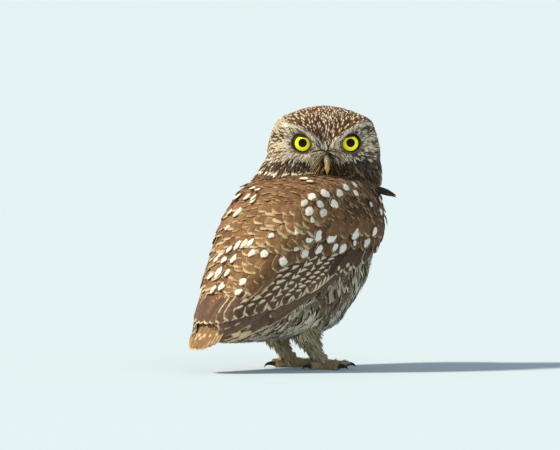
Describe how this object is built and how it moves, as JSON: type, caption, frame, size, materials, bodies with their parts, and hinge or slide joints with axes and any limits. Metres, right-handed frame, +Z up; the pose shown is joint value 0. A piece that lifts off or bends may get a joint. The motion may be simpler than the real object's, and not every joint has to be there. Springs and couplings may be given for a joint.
{
  "type": "little owl",
  "caption": "Life-size still model of a little owl standing on both feet, body pitched forward, head turned back over its right shoulder.",
  "frame": {"origin": "middle of the box that holds the bird, on the ground under its feet", "axes": "+X the way the body faces, +Y its left side, +Z up"},
  "size_m": [0.1676, 0.1042, 0.1933],
  "materials": {
    "plumage": "matt brown feathers with white spots and pale fringes",
    "belly": "soft off-white feathers with broad dark brown streaks",
    "flight": "stiff dark brown flight feathers with pale bars",
    "toe": "buff bristly feathering over the toes",
    "claw": "smooth black horn",
    "bill": "smooth grey-yellow horn, yellower at the tip",
    "eye": "wet clear cornea over a lemon-yellow iris and a black pupil"
  },
  "bodies": {
    "root": {"head": "plumage", "bill_upper": "bill", "bill_lower": "bill", "neck": "plumage", "torso": "belly", "mantle": "plumage", "tail": "flight", "eye_left": "eye", "wing_left": "plumage", "leg_left": "belly", "foot_left": "toe", "claw_left_inner": "claw", "claw_left_middle": "claw", "claw_left_outer": "claw", "claw_left_back": "claw", "eye_right": "eye", "wing_right": "plumage", "leg_right": "belly", "foot_right": "toe", "claw_right_inner": "claw", "claw_right_middle": "claw", "claw_right_outer": "claw", "claw_right_back": "claw"}
  },
  "joints": []
}
